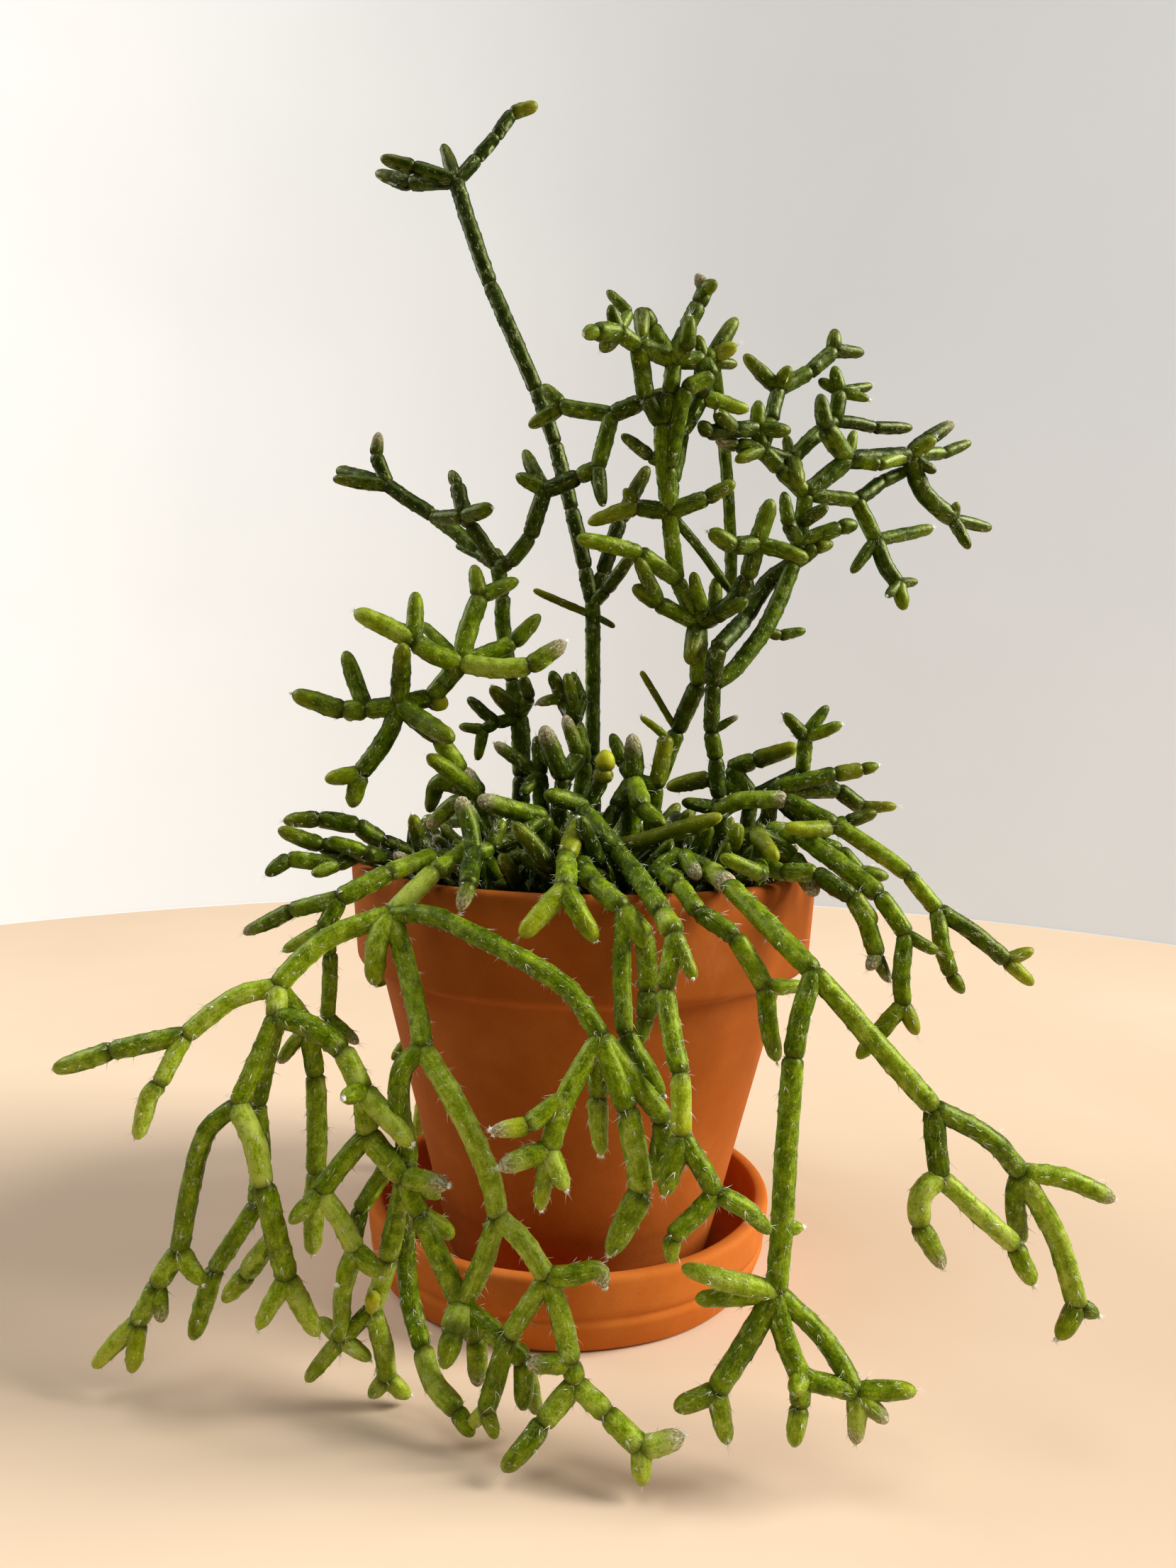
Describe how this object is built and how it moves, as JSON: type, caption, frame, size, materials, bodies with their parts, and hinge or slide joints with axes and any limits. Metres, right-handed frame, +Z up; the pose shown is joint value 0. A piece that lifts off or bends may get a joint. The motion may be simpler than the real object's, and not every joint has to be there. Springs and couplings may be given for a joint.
{
  "type": "potted rhipsalis",
  "caption": "Rhipsalis with jointed, branching green stems that stand and trail over the rim of a tapered terracotta pot on a round saucer.",
  "frame": {"origin": "a point on the saucer's flat underside, straight below the middle of the pot", "axes": "+Z up along the pot's axis; the viewer of the picture stands at -Y, with the long trails to the left (-X) and right (+X) front"},
  "size_m": [0.2743, 0.2229, 0.3843],
  "materials": {
    "terracotta": "matte unglazed clay with faint pale streaks",
    "saucer_clay": "matte unglazed clay, damp and darker inside",
    "potting_soil": "rough dark crumbly potting mix",
    "stem_skin": "waxy green skin with pale streaks, fine bristles and woolly tips"
  },
  "bodies": {
    "root": {"pot": "terracotta", "saucer": "saucer_clay", "soil": "potting_soil", "tall_stem": "stem_skin", "left_upright": "stem_skin", "middle_upright": "stem_skin", "right_upright": "stem_skin", "left_arm": "stem_skin", "crown_left": "stem_skin", "crown_front_left": "stem_skin", "crown_front": "stem_skin", "crown_front_low": "stem_skin", "crown_berries": "stem_skin", "crown_middle": "stem_skin", "crown_middle_left": "stem_skin", "crown_middle_right": "stem_skin", "crown_lying": "stem_skin", "crown_right": "stem_skin", "crown_right_low": "stem_skin", "crown_front_right": "stem_skin", "trail_far_left": "stem_skin", "trail_left": "stem_skin", "trail_front": "stem_skin", "trail_front_short": "stem_skin", "trail_front_dark": "stem_skin", "trail_front_right": "stem_skin", "trail_right": "stem_skin", "right_arch": "stem_skin", "right_long": "stem_skin", "right_low": "stem_skin", "trail_back_1": "stem_skin", "trail_back_2": "stem_skin", "trail_back_3": "stem_skin", "trail_back_4": "stem_skin", "trail_back_5": "stem_skin", "trail_back_6": "stem_skin", "crown_back_1": "stem_skin", "crown_back_2": "stem_skin", "crown_back_3": "stem_skin", "crown_back_4": "stem_skin", "crown_back_5": "stem_skin"}
  },
  "joints": []
}
